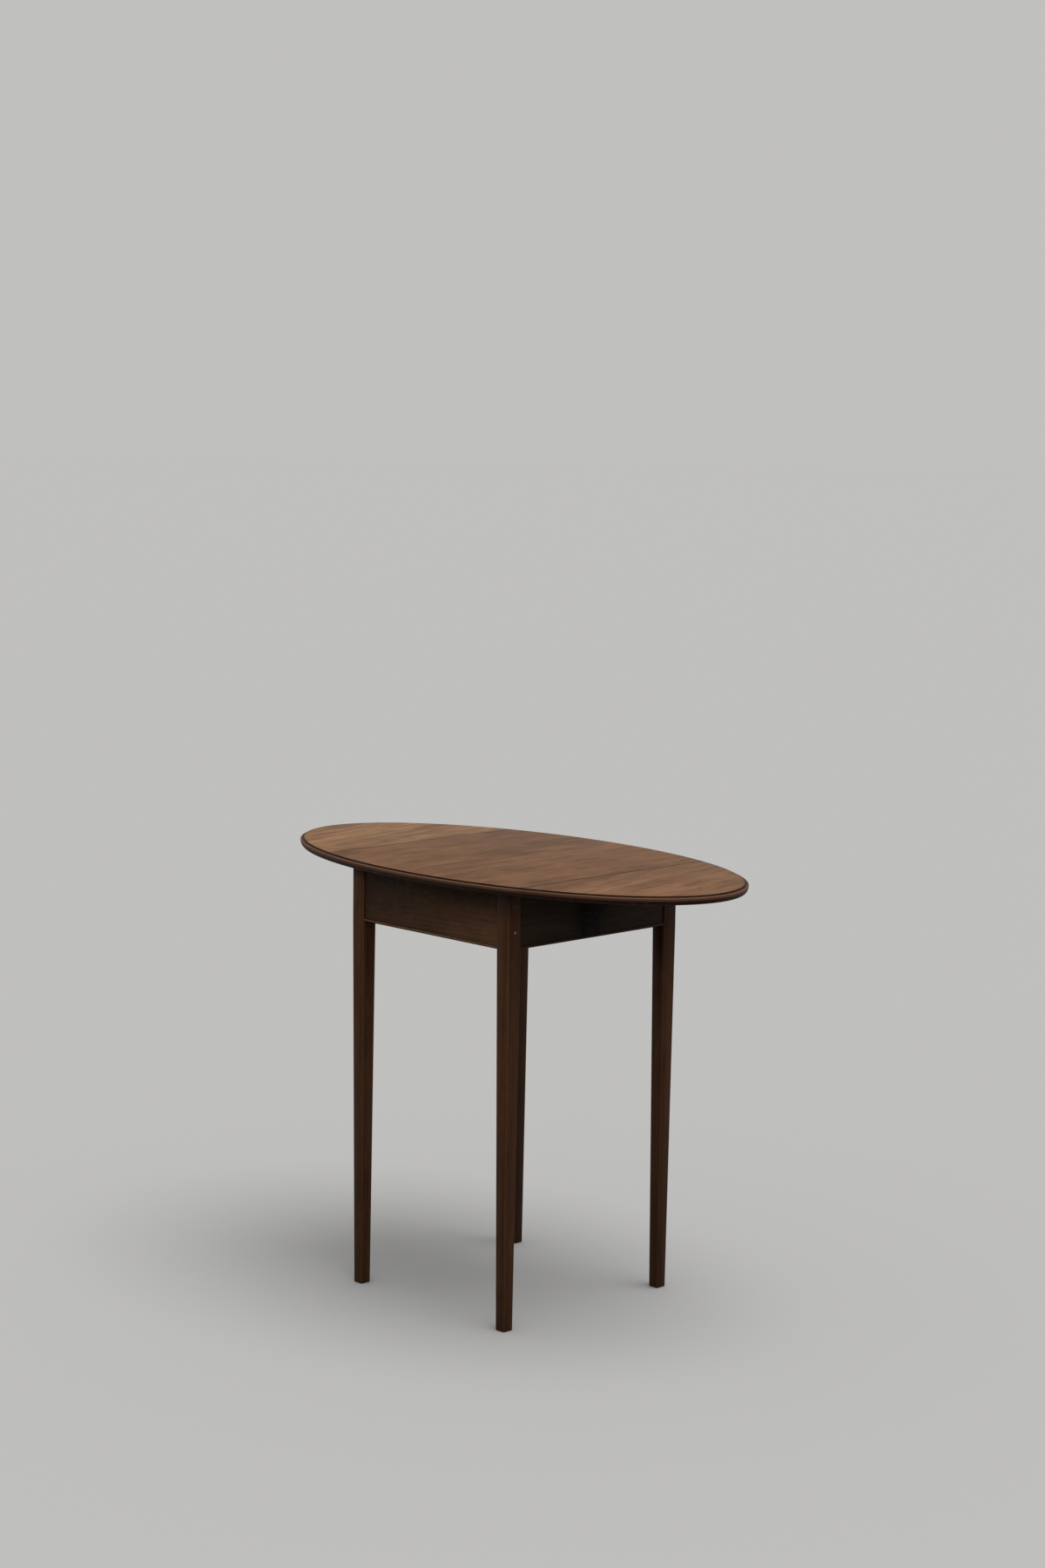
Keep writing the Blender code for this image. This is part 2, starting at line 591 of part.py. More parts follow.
def glue_block(name, side, x):
    """A three-cornered block rubbed into the angle between an end apron and the centre board."""
    wall = -END_INNER_Y + GAP
    outline = [
        (wall, FRAME_TOP),
        (wall, FRAME_TOP - GLUE_BLOCK_SIZE),
        (wall + GLUE_BLOCK_TOE, FRAME_TOP - GLUE_BLOCK_SIZE),
        (wall + GLUE_BLOCK_SIZE, FRAME_TOP - GLUE_BLOCK_TOE),
        (wall + GLUE_BLOCK_SIZE, FRAME_TOP),
    ]
    half = GLUE_BLOCK_LENGTH / 2
    part(prism(name, PLANE_YZ, outline, x - half, x + half), side, "inner_wood")


def build_side(label, end_label, far_label, turn, centre_board):
    """Everything on one side and the end that goes with it. The near end is the one by the knuckle joint."""
    side = bpy.data.objects.new(f"{label}_side", None)
    PARTS.objects.link(side)
    side.rotation_euler.z = turn

    leaf = oval_slab(f"{label}_leaf")
    boolean(leaf, leaf_region(f"{label}_leaf_region", side), "INTERSECT")
    boolean(centre_board, centre_board_cutter(f"{label}_centre_board_cutter", side))
    for place, y in ((end_label, -HINGE_SPACING / 2), (far_label, HINGE_SPACING / 2)):
        board_mortise, slot, leaf_mortise = hinge_mortises(label, side, place, y)
        boolean(centre_board, board_mortise)
        boolean(centre_board, slot)
        boolean(leaf, leaf_mortise)
        hinge(label, side, place, y)
    part(leaf, side, "leaf_wood")
    set_origin(leaf, (HINGE_X, 0, HINGE_Z))
    stop_block(label, side)

    peg_holes = {}
    for place, y_sign in ((end_label, -1), (far_label, 1)):
        holes = pegs(label, side, place, y_sign)
        name = f"{label}_{place}_leg"
        mortises = [
            helper(side_tenon(f"{name}_side_mortise", y_sign, GAP), side),
            helper(end_tenon(f"{name}_end_mortise", 1, y_sign, GAP), side),
        ]
        leg(name, side, y_sign, mortises + holes)
        peg_holes[place] = holes

    pin_start = (FLY_MIDDLE_X, KNUCKLE_PIN_Y, APRON_BOTTOM + GAP)
    pin_end = (FLY_MIDDLE_X, KNUCKLE_PIN_Y, ARM_TOP + KNUCKLE_PIN_TOP_EXTRA)
    part(cylinder(f"{label}_knuckle_pin", KNUCKLE_PIN_DIAMETER / 2, pin_start, pin_end), side, "pin_steel")
    bore_start = (FLY_MIDDLE_X, KNUCKLE_PIN_Y, APRON_BOTTOM - OVERRUN)
    bore_end = (FLY_MIDDLE_X, KNUCKLE_PIN_Y, ARM_TOP + KNUCKLE_PIN_TOP_EXTRA + GAP)
    bore = cylinder(f"{label}_knuckle_bore", KNUCKLE_PIN_DIAMETER / 2 + GAP, bore_start, bore_end)
    pin_bore = helper(bore, side)
    fly_rail(label, side, pin_bore, peg_holes[end_label])
    fly_bracket(label, side, pin_bore)
    side_panel(label, side, peg_holes[far_label])
    rail_reach = LEG_INNER_Y - GAP
    rail_low = (RAIL_INNER_X, -rail_reach, APRON_BOTTOM)
    rail = box(f"{label}_inner_rail", rail_low, (RAIL_OUTER_X, rail_reach, FRAME_TOP))
    part(rail, side, "inner_wood")
    bead(f"{label}_bead", side, PLANE_XZ, RAIL_INNER_X, FLY_OUTER_X, -rail_reach, rail_reach)

    end_apron(f"{end_label}_apron", side)
    end_reach = LEG_INNER_X - GAP
    bead(f"{end_label}_bead", side, PLANE_YZ, -END_INNER_Y, -END_OUTER_Y, -end_reach, end_reach)
    for number, x in enumerate((-GLUE_BLOCK_SPACING / 2, GLUE_BLOCK_SPACING / 2), 1):
        glue_block(f"{end_label}_glue_block_{number}", side, x)


centre = oval_slab("centre_board")
build_side("right", "front", "back", 0, centre)
build_side("left", "back", "front", math.pi, centre)
part(centre, None, "centre_board_wood")
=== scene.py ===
"""Butterfly table: finer boards, eased edges, wood, iron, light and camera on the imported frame."""

import json
import math

import bmesh
import bpy
from mathutils import Matrix, Vector, noise

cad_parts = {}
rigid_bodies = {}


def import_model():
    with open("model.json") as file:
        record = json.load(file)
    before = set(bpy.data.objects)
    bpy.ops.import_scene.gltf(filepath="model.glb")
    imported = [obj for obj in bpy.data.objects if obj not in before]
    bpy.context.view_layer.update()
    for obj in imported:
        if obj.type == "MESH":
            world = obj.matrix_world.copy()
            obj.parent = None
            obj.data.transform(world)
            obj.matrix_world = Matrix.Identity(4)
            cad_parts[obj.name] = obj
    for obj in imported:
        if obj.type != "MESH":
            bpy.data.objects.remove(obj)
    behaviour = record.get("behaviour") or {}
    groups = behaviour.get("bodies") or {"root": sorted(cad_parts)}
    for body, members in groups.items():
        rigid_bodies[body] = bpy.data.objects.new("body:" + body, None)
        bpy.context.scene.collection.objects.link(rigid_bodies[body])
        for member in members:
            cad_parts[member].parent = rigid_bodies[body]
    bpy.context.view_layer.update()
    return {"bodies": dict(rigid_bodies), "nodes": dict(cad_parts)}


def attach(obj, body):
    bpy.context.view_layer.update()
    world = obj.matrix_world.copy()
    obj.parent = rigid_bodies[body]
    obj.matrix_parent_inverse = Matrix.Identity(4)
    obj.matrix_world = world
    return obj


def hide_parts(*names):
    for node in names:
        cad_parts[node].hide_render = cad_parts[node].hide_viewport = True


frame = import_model()
NODES = frame["nodes"]

# Sizes shared with the solids, in metres
TOP = 0.700
TOP_LENGTH = 0.900
TOP_WIDTH = 0.473
UNDERSIDE = 0.6865
STEP_INSET = 0.006
STEP_HEIGHT = 0.002
NOSE_DEPTH = 0.005
NOSE_DROP = 0.0015
UNDERCUT = 0.0065
HINGE_X = 0.2193
HINGE_Z = 0.6895
OVOLO_RADIUS = 0.008
COVE_RADIUS = 0.0086
HINGE_Y = 0.125
HINGE_WIDTH = 0.040
FIXED_FLAP_WIDTH = 0.026
LEAF_FLAP_WIDTH = 0.040
FLAP_LOW = 0.6866
FLAP_HIGH = 0.6884
KNUCKLE_SLOT_RADIUS = 0.0032
GAP = 0.0003
STOP_BLOCK_SCREWS = (0.2323, 0.2413)
STOP_BLOCK_Y = -0.0253
STOP_BLOCK_BOTTOM = 0.6645

# Finer facets of the boards
OVAL_SEGMENTS = 300
NOSE_STEPS = 8
UNDERCUT_STEPS = 14
ARC_STEPS = 20
SLOT_SIDES = 24
EASE_STEPS = 4
STEP_EASE = 0.0005
STEP_FILLET = 0.0004
CUT_MARGIN = 0.010
OVERCUT = 0.001

# Nicks along the hand-worked edge: a slow wave and quick dents
NICK_DEPTH = 0.0004
NICK_MARGIN = 0.001
WAVE_RATE = (9, 5, 60)
WAVE_SHARE = 0.35
DENT_RATE = 6.0
DENT_FLOOR = 0.25
DENT_SHARE = 1.6

# Wear, dirt and painted shade of the moulded edge, by height: dirt and painted shade in the step and on the
# ledge, painted shade where the nose turns under
LEVEL = 0.99
TOP_SKIN = 1e-5
UNDERSIDE_SKIN = 0.0001
STEP_DIRT_AND_SHADE_LOW = TOP - 0.0018
LEDGE_LOW = TOP - 0.0022
LEDGE_DIRT_AND_SHADE = 0.88
NOSE_WEAR = 0.9
NOSE_SHADE_TOP = 0.0092
NOSE_SHADE_FADE = 0.0040

# Line of dirt over each rule joint, measured from the hinge line, and band of dirt inside the rim
SEAM_SHIFT = 0.0003
SEAM_CORE = 0.0009
SEAM_REACH = 0.0024
SEAM_LOW = TOP - 0.003
SEAM_HIGH = TOP - 0.001
RIM_BAND = (0.984, 0.999)
RIM_DIRT = 0.30

# Eased edges of the other pieces
EDGE_EASE = 0.0005
PANEL_EASE = 0.0004
RAIL_EASE = 0.0003
FINE_EASE = 0.0002
EASE_SEGMENTS = 2
WELD = 1e-6
FLAT_ANGLE = math.radians(0.4)
SHARP_ANGLE = math.radians(40)
BOARD_SHARP_ANGLE = math.radians(28)
SQUARE = 0.985
# Share marked on slanted faces: wear, which also carries the legs' painted highlight and the brackets'
# painted shade
CHAMFER_WEAR_HIGHLIGHT_AND_SHADE = 0.7
# Painted highlight on a bead's upward faces and painted shade on its downward faces
BEAD_HIGHLIGHT_SHARE = 0.9
BEAD_HIGHLIGHT_FACING = (0.05, 0.95)
BEAD_SHADE_FACING = -0.35

SIDES = {"right": 1, "left": -1}
ENDS = {"front": -1, "back": 1}


# Shader building blocks

class Graph:
    """The node tree of a material or a world, with a line for each kind of node."""

    def __init__(self, owner):
        owner.use_nodes = True
        self.owner = owner
        self.tree = owner.node_tree

    def node(self, kind, **inputs):
        made = self.tree.nodes.new(kind)
        for name, value in inputs.items():
            self.feed(made.inputs[name.replace("_", " ")], value)
        return made

    def feed(self, socket, value):
        if isinstance(value, bpy.types.NodeSocket):
            self.tree.links.new(value, socket)
        else:
            socket.default_value = value

    def mapping(self, vector, location=(0, 0, 0), rotation=(0, 0, 0), scale=(1, 1, 1)):
        made = self.node(
            "ShaderNodeMapping", Vector=vector, Location=location, Rotation=rotation, Scale=scale
        )
        return made.outputs["Vector"]

    def noise(self, vector, scale=1.0, detail=3.0, roughness=0.5, distortion=0.0):
        made = self.node(
            "ShaderNodeTexNoise", Vector=vector, Scale=scale, Detail=detail, Roughness=roughness,
            Distortion=distortion,
        )
        return made.outputs["Fac"]

    def rings(self, vector, scale, distortion):
        made = self.node(
            "ShaderNodeTexWave", Vector=vector, Scale=scale, Distortion=distortion, Detail=2.0,
            Detail_Scale=0.35,
        )
        made.wave_type = "RINGS"
        made.rings_direction = "X"
        made.wave_profile = "SAW"
        return made.outputs["Fac"]

    def math(self, operation, *values):
        made = self.tree.nodes.new("ShaderNodeMath")
        made.operation = operation
        for socket, value in zip(made.inputs, values):
            self.feed(socket, value)
        return made.outputs["Value"]

    def vector_math(self, operation, *values):
        made = self.tree.nodes.new("ShaderNodeVectorMath")
        made.operation = operation
        for socket, value in zip(made.inputs, values):
            self.feed(socket, value)
        return made.outputs

    def layered(self, base, *layers):
        """A base value plus each layer times its share."""
        for layer, share in layers:
            base = self.math("MULTIPLY_ADD", layer, share, base)
        return base

    def fit(self, value, low, high, start=0.0, end=1.0):
        made = self.node(
            "ShaderNodeMapRange", Value=value, From_Min=low, From_Max=high, To_Min=start, To_Max=end
        )
        return made.outputs["Result"]

    def mix(self, factor, first, second):
        made = self.tree.nodes.new("ShaderNodeMix")
        made.data_type = "RGBA"
        self.feed(made.inputs[0], factor)
        for socket, colour in ((made.inputs[6], first), (made.inputs[7], second)):
            self.feed(socket, colour if isinstance(colour, bpy.types.NodeSocket) else (*colour, 1))
        return made.outputs[2]

    def attribute(self, name):
        made = self.tree.nodes.new("ShaderNodeAttribute")
        made.attribute_name = name
        return made.outputs["Fac"]

    def bump(self, height, strength, distance):
        made = self.node("ShaderNodeBump", Height=height, Strength=strength, Distance=distance)
        return made.outputs["Normal"]

    def seen(self):
        """One for the rays that show a backdrop: from the camera, in gloss and through glass."""
        path = self.tree.nodes.new("ShaderNodeLightPath").outputs
        direct = self.math("MAXIMUM", path["Is Camera Ray"], path["Is Glossy Ray"])
        return self.math("MAXIMUM", direct, path["Is Transmission Ray"])


def tinted(colour, tint):
    return tuple(value * change for value, change in zip(colour, tint))


def scaled(colour, factor):
    return tuple(factor * value for value in colour)


# Wood: growth rings round a pith line, long fibres, pores, patina, wear on edges and dirt in corners

GRAIN_TURNS = {
    "X": (0, 0, 0),
    "Y": (0, 0, math.radians(-90)),
    "Z": (0, math.radians(90), 0),
}
GRAIN_VECTORS = {"X": (1, 0, 0), "Y": (0, 1, 0), "Z": (0, 0, 1)}

# Spots per metre of each layer, along the grain and across it
FIBRE_RATE = (3.5, 170, 170)
FINE_RATE = (14, 620, 620)
PORE_RATE = (38, 1250, 1250)
PATINA_RATE = (3.0, 9.0, 9.0)
MOTTLE_RATE = (13, 44, 44)
HUE_RATE = (7, 26, 26)
HUE_SHIFT = (3.1, 0.7, 0.2)
SCUFF_RATE = (90, 90, 90)
RING_STRETCH = (0.10, 1, 1)
RING_WAVER = 5.0

# How far each layer moves the tone between deep and pale
RING_TONE = 0.34
FINE_TONE = 0.35
PATINA_TONE = 1.3
MOTTLE_TONE = 1.7

# How far each layer roughens the surface and stands up from it
PATINA_ROUGH, FINE_ROUGH, PORE_ROUGH, RUB_ROUGH = 0.10, 0.08, 0.10, 0.12
ROUGH_BASE = -0.05
FINE_HEIGHT, FIBRE_HEIGHT, PORE_HEIGHT, SCUFF_HEIGHT = 0.4, 0.6, -0.5, 0.25
GRAIN_BUMP = (0.35, 0.0004)

# Changes of hue, dark grain, wear, dirt, painted highlight and painted shade as shares of a colour, and the
# spans of noise that show them
REDDER = (1.015, 0.985, 0.975)
OLIVE = (0.985, 1.015, 1.02)
# Tint of the dirt and painted shade on the boards of the top
DIRT_AND_SHADE_TINT = (0.19, 0.155, 0.14)
# Tint of the painted shade on the other pieces
PAINTED_SHADE_TINT = (0.17, 0.195, 0.23)
DARK = 0.42
RUBBED = 1.25
PORE_SHARE = 0.38
END_GRAIN_SHARE = 0.45
HUE_SPAN = (0.32, 0.68)
PORE_SPAN = (0.60, 0.74)
END_GRAIN_SPAN = (0.55, 0.98)
BOARD_RUB_SPAN = (0.15, 0.50)
# Span of noise that breaks up wear, painted highlight and painted shade on marked edges
EDGE_RUB_HIGHLIGHT_AND_SHADE_SPAN = (0.20, 0.60)
# Span of noise that breaks dirt and painted shade into patches
PATCHY_DIRT_AND_SHADE = (0.25, 0.55, 0.82, 1.0)


def board_dirt(g, place, spot, dirt_and_shade):
    """Dirt and painted shade on a board of the top, with the lines of dirt over its joints and the band
    inside its rim added.
    """
    from_hinge = g.math("SUBTRACT", g.math("ABSOLUTE", spot["x"]), HINGE_X + SEAM_SHIFT)
    line = g.fit(g.math("ABSOLUTE", from_hinge), SEAM_REACH, SEAM_CORE)
    dirt_and_shade = g.math("MAXIMUM", dirt_and_shade, g.math("MULTIPLY", line, g.fit(spot["z"], SEAM_LOW, SEAM_HIGH)))
    to_rim = (2 / (TOP_LENGTH - 2 * STEP_INSET), 2 / (TOP_WIDTH - 2 * STEP_INSET), 0)
    outward = g.vector_math("MULTIPLY", place, to_rim)["Vector"]
    reach = g.vector_math("LENGTH", outward)["Value"]
    return g.math("MAXIMUM", dirt_and_shade, g.fit(reach, *RIM_BAND, 0.0, RIM_DIRT))


def wood(name, pale, deep, grain, pith, tilt=0.0, lean=0.0, ring=46.0, gloss=0.5, wear_highlight_and_shade=None, board=False,
         streak=1.35, sheen=0.10, darkening=()):
    """Solid wood whose grain runs along an axis, with its pith at an offset.

    The grain turns by tilt in the board's plane and by lean out of it. A board of the top has dirt along its
    joints and its rim. The grime mark holds dirt and painted shade. Each span of darkening gives an axis, the
    places along it between which the wood darkens, and how far; on the end aprons and the legs these spans
    are painted shade.
    """
    g = Graph(bpy.data.materials.new(name))
    shader = g.tree.nodes["Principled BSDF"].inputs
    source = g.tree.nodes.new("ShaderNodeTexCoord").outputs
    place = source["Object"]
    turn = Vector(GRAIN_TURNS[grain]) + Vector((0, math.radians(lean), math.radians(tilt)))
    along = g.mapping(place, location=pith, rotation=turn)

    figure = g.rings(g.mapping(along, scale=RING_STRETCH), ring, RING_WAVER)
    fibre = g.noise(g.mapping(along, scale=FIBRE_RATE), detail=6.0, roughness=0.62)
    fine = g.noise(g.mapping(along, scale=FINE_RATE), detail=3.0, roughness=0.6)
    patina = g.noise(g.mapping(along, scale=PATINA_RATE), detail=3.0, roughness=0.55, distortion=0.4)
    mottle = g.noise(g.mapping(along, scale=MOTTLE_RATE), detail=4.0, roughness=0.6, distortion=0.7)
    hue = g.noise(g.mapping(along, location=HUE_SHIFT, scale=HUE_RATE), detail=3.0, roughness=0.6)
    pores = g.fit(g.noise(g.mapping(along, scale=PORE_RATE), detail=1.0), *PORE_SPAN)
    scuff = g.noise(g.mapping(place, scale=SCUFF_RATE), detail=4.0, roughness=0.7)

    layers = (
        (figure, RING_TONE), (fibre, streak), (fine, FINE_TONE), (patina, PATINA_TONE), (mottle, MOTTLE_TONE)
    )
    tone = g.layered(0.5, *((g.math("SUBTRACT", layer, 0.5), share) for layer, share in layers))
    tone = g.fit(tone, 0.0, 1.0)
    red, olive = (g.mix(tone, tinted(deep, tint), tinted(pale, tint)) for tint in (REDDER, OLIVE))
    colour = g.mix(g.fit(hue, *HUE_SPAN), red, olive)
    dark = scaled(deep, DARK)
    colour = g.mix(g.math("MULTIPLY", pores, PORE_SHARE), colour, dark)

    facing = g.vector_math("DOT_PRODUCT", source["Normal"], GRAIN_VECTORS[grain])["Value"]
    end_grain = g.fit(g.math("ABSOLUTE", facing), *END_GRAIN_SPAN)
    colour = g.mix(g.math("MULTIPLY", end_grain, END_GRAIN_SHARE), colour, dark)

    # Marked edges and faces: wear in general, a painted highlight on the legs' arrises and the beads' upper
    # sides, and painted shade on the brackets' edges
    rub_highlight_and_shade = g.math("MULTIPLY", g.attribute("wear_highlight_and_shade"), g.fit(scuff, *(BOARD_RUB_SPAN if board else EDGE_RUB_HIGHLIGHT_AND_SHADE_SPAN)))
    colour = g.mix(rub_highlight_and_shade, colour, wear_highlight_and_shade or scaled(pale, RUBBED))

    spot = dict(zip("xyz", g.node("ShaderNodeSeparateXYZ", Vector=place).outputs))
    # Dirt and painted shade: the grime mark, the board's lines of dirt, and the spans of darkening, which
    # paint shade on the end aprons and the legs
    dirt_and_shade = g.attribute("grime_and_shade")
    if board:
        dirt_and_shade = board_dirt(g, place, spot, dirt_and_shade)
    unmarked = g.math("SUBTRACT", 1.0, dirt_and_shade)
    for axis, start, end, amount in darkening:
        unmarked = g.math("MULTIPLY", unmarked, g.fit(spot[axis], start, end, 1.0, 1.0 - amount))
    dirt_and_shade = g.math("MULTIPLY", g.math("SUBTRACT", 1.0, unmarked), g.fit(scuff, *PATCHY_DIRT_AND_SHADE))
    g.feed(shader["Base Color"], g.mix(dirt_and_shade, colour, tinted(deep, DIRT_AND_SHADE_TINT if board else PAINTED_SHADE_TINT)))

    rough = g.layered(
        gloss + ROUGH_BASE, (patina, PATINA_ROUGH), (fine, FINE_ROUGH), (pores, PORE_ROUGH), (rub_highlight_and_shade, RUB_ROUGH)
    )
    g.feed(shader["Roughness"], rough)
    shader["Specular IOR Level"].default_value = sheen

    height = g.layered(
        0.0, (fine, FINE_HEIGHT), (fibre, FIBRE_HEIGHT), (pores, PORE_HEIGHT), (scuff, SCUFF_HEIGHT)
    )
    g.feed(shader["Normal"], g.bump(height, *GRAIN_BUMP))
    return g.owner


# Iron and steel

CLOUD_RATE = 160.0
PIT_RATE = 1500.0
STAIN_SPAN = (0.42, 0.66)
STAIN_METALLIC = (0.95, 0.35)
STAIN_ROUGHNESS = 0.75
PIT_ROUGH = 0.25
METAL_BUMP = (0.3, 0.0003)
METAL_WEAR = 0.5
METAL_SHINE = 2.2


def metal(name, unmarked, stain, roughness):
    """Hand-worked iron or steel, stained brown in patches and pitted."""
    g = Graph(bpy.data.materials.new(name))
    shader = g.tree.nodes["Principled BSDF"].inputs
    place = g.tree.nodes.new("ShaderNodeTexCoord").outputs["Object"]
    cloud = g.noise(place, scale=CLOUD_RATE, detail=5.0, roughness=0.65)
    pits = g.noise(place, scale=PIT_RATE, detail=3.0, roughness=0.6)
    stained = g.fit(cloud, *STAIN_SPAN)
    colour = g.mix(stained, unmarked, stain)
    colour = g.mix(g.math("MULTIPLY", g.attribute("wear_highlight_and_shade"), METAL_WEAR), colour, scaled(unmarked, METAL_SHINE))
    g.feed(shader["Base Color"], colour)
    g.feed(shader["Metallic"], g.fit(stained, 0.0, 1.0, *STAIN_METALLIC))
    rough = g.fit(stained, 0.0, 1.0, roughness, STAIN_ROUGHNESS)
    g.feed(shader["Roughness"], g.layered(rough, (pits, PIT_ROUGH)))
    g.feed(shader["Normal"], g.bump(g.layered(pits, (cloud, 0.6)), *METAL_BUMP))
    return g.owner


# Mesh building blocks

def shade(mesh, sharp_angle):
    mesh.shade_smooth()
    mesh.set_sharp_from_angle(angle=sharp_angle)


def mesh_object(name, bm):
    """A new object from a finished bmesh, smooth except across its sharp edges."""
    mesh = bpy.data.meshes.new(name)
    bm.to_mesh(mesh)
    bm.free()
    shade(mesh, SHARP_ANGLE)
    obj = bpy.data.objects.new(name, mesh)
    bpy.context.scene.collection.objects.link(obj)
    return obj


def settle(obj, material, body, slot, *nodes):
    """Gives a piece its material and its body, and hides the nodes that it stands for. The slot is not used.
    """
    obj.data.materials.clear()
    obj.data.materials.append(material)
    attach(obj, body)
    if nodes:
        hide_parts(*nodes)


def body_of(node):
    return next(name for name, holder in frame["bodies"].items() if holder == NODES[node].parent)


def arc(centre, radius, first, last, steps):
    angles = [math.radians(first + (last - first) * step / steps) for step in range(steps + 1)]
    return [(centre[0] + radius * math.cos(angle), centre[1] + radius * math.sin(angle)) for angle in angles]


def prism(name, outline, low, high):
    """An outline in the XZ plane, extruded along Y from low to high."""
    bm = bmesh.new()
    face = bm.faces.new([bm.verts.new((x, low, z)) for x, z in outline])
    grown = bmesh.ops.extrude_face_region(bm, geom=[face])["geom"]
    moved = [item for item in grown if isinstance(item, bmesh.types.BMVert)]
    bmesh.ops.translate(bm, vec=(0, high - low, 0), verts=moved)
    bmesh.ops.recalc_face_normals(bm, faces=bm.faces)
    return mesh_object(name, bm)


def block(name, low, high):
    low, high = Vector(low), Vector(high)
    bm = bmesh.new()
    place = Matrix.Translation((low + high) / 2) @ Matrix.Diagonal((*(high - low), 1))
    bmesh.ops.create_cube(bm, size=1, matrix=place)
    return mesh_object(name, bm)


def cut(obj, cutter, operation="DIFFERENCE"):
    """Applies one Boolean to an object and removes the cutter."""
    modifier = obj.modifiers.new(operation, "BOOLEAN")
    modifier.operation = operation
    modifier.solver = "EXACT"
    modifier.object = cutter
    bpy.context.view_layer.update()
    mesh = bpy.data.meshes.new_from_object(obj.evaluated_get(bpy.context.evaluated_depsgraph_get()))
    obj.modifiers.clear()
    obj.data = mesh
    bpy.data.objects.remove(cutter)


# Top boards

def edge_profile():
    """(inset, height) down the moulded edge: eased step, filleted ledge, nose rounded under."""
    nose_top = TOP - STEP_HEIGHT
    widest = nose_top - NOSE_DROP
    profile = []
    for step in range(EASE_STEPS + 1):
        turn = math.radians(90 * step / EASE_STEPS)
        inset = STEP_INSET + STEP_EASE * (1 - math.sin(turn))
        profile.append((inset, TOP - STEP_EASE * (1 - math.cos(turn))))
    for step in range(EASE_STEPS + 1):
        turn = math.radians(90 * step / EASE_STEPS)
        inset = STEP_INSET - STEP_FILLET * (1 - math.cos(turn))
        profile.append((inset, nose_top + STEP_FILLET * (1 - math.sin(turn))))
    for step in range(NOSE_STEPS):
        turn = math.pi / 2 * (1 - step / NOSE_STEPS)
        profile.append((NOSE_DEPTH * (1 - math.cos(turn)), widest + NOSE_DROP * math.sin(turn)))
    for step in range(UNDERCUT_STEPS + 1):
        turn = math.pi / 2 * step / UNDERCUT_STEPS
        profile.append((UNDERCUT * (1 - math.cos(turn)), widest - (widest - UNDERSIDE) * math.sin(turn)))
    return profile


def nick(angle, height):
    """How far the hand-worked edge falls short of its true line, never proud of it."""
    at = Vector((math.cos(angle) * WAVE_RATE[0], math.sin(angle) * WAVE_RATE[1], height * WAVE_RATE[2]))
    wave = 0.5 + 0.5 * noise.noise(at)
    dent = max(0.0, noise.noise(at * DENT_RATE) - DENT_FLOOR)
    return NICK_DEPTH * (WAVE_SHARE * wave + DENT_SHARE * dent)


def oval_slab(name):
    """The whole moulded top, ring by ring down its edge."""
    bm = bmesh.new()
    rings = []
    for inset, height in edge_profile():
        nicked = UNDERSIDE + NICK_MARGIN < height < TOP - STEP_HEIGHT / 2
        ring = []
        for step in range(OVAL_SEGMENTS):
            angle = 2 * math.pi * step / OVAL_SEGMENTS
            short = nick(angle, height) if nicked else 0
            half_x, half_y = TOP_LENGTH / 2 - inset - short, TOP_WIDTH / 2 - inset - short
            ring.append(bm.verts.new((half_x * math.cos(angle), half_y * math.sin(angle), height)))
        rings.append(ring)
    for upper, lower in zip(rings, rings[1:]):
        for step in range(OVAL_SEGMENTS):
            after = (step + 1) % OVAL_SEGMENTS
            bm.faces.new((upper[step], lower[step], lower[after], upper[after]))
    bm.faces.new(rings[0])
    bm.faces.new(reversed(rings[-1]))
    bmesh.ops.recalc_face_normals(bm, faces=bm.faces)
    return mesh_object(name, bm)


def outside(name, side, curve, start, end):
    """All that lies beyond a curve of the rule joint on one side, from start above to end below."""
    below, above, far = UNDERSIDE - CUT_MARGIN, TOP + CUT_MARGIN, TOP_LENGTH
    outline = [(start, above), *curve, (end, below), (far, below), (far, above)]
    return prism(name, [(side * x, z) for x, z in outline], -TOP_WIDTH, TOP_WIDTH)


def board_cutter(side):
    """All that lies outside the centre board's ovolo on one side."""
    ovolo = arc((HINGE_X, HINGE_Z), OVOLO_RADIUS, 90, 0, ARC_STEPS)
    return outside("board_cutter", side, ovolo, HINGE_X, HINGE_X + OVOLO_RADIUS)


def leaf_region(side):
    """The space of one leaf: outside the cove that turns round the ovolo."""
    first = 90 - math.degrees(math.asin((COVE_RADIUS - OVOLO_RADIUS) / COVE_RADIUS))
    last = -math.degrees(math.asin((HINGE_Z - UNDERSIDE) / COVE_RADIUS))
    cove = arc((HINGE_X, HINGE_Z), COVE_RADIUS, first, last, ARC_STEPS)
    return outside("leaf_region", side, cove, cove[0][0], cove[-1][0])


def flap_mortise(side, y, inner, outer):
    near, far = y - HINGE_WIDTH / 2 - GAP, y + HINGE_WIDTH / 2 + GAP
    low_x, high_x = sorted((side * inner, side * outer))
    return block("mortise", (low_x, near, UNDERSIDE - CUT_MARGIN), (high_x, far, FLAP_HIGH + GAP))


def knuckle_slot(side, y):
    outline = arc((side * HINGE_X, HINGE_Z), KNUCKLE_SLOT_RADIUS, 0, 360 - 360 / SLOT_SIDES, SLOT_SIDES - 1)
    return prism("slot", outline, y - HINGE_WIDTH / 2 - GAP, y + HINGE_WIDTH / 2 + GAP)


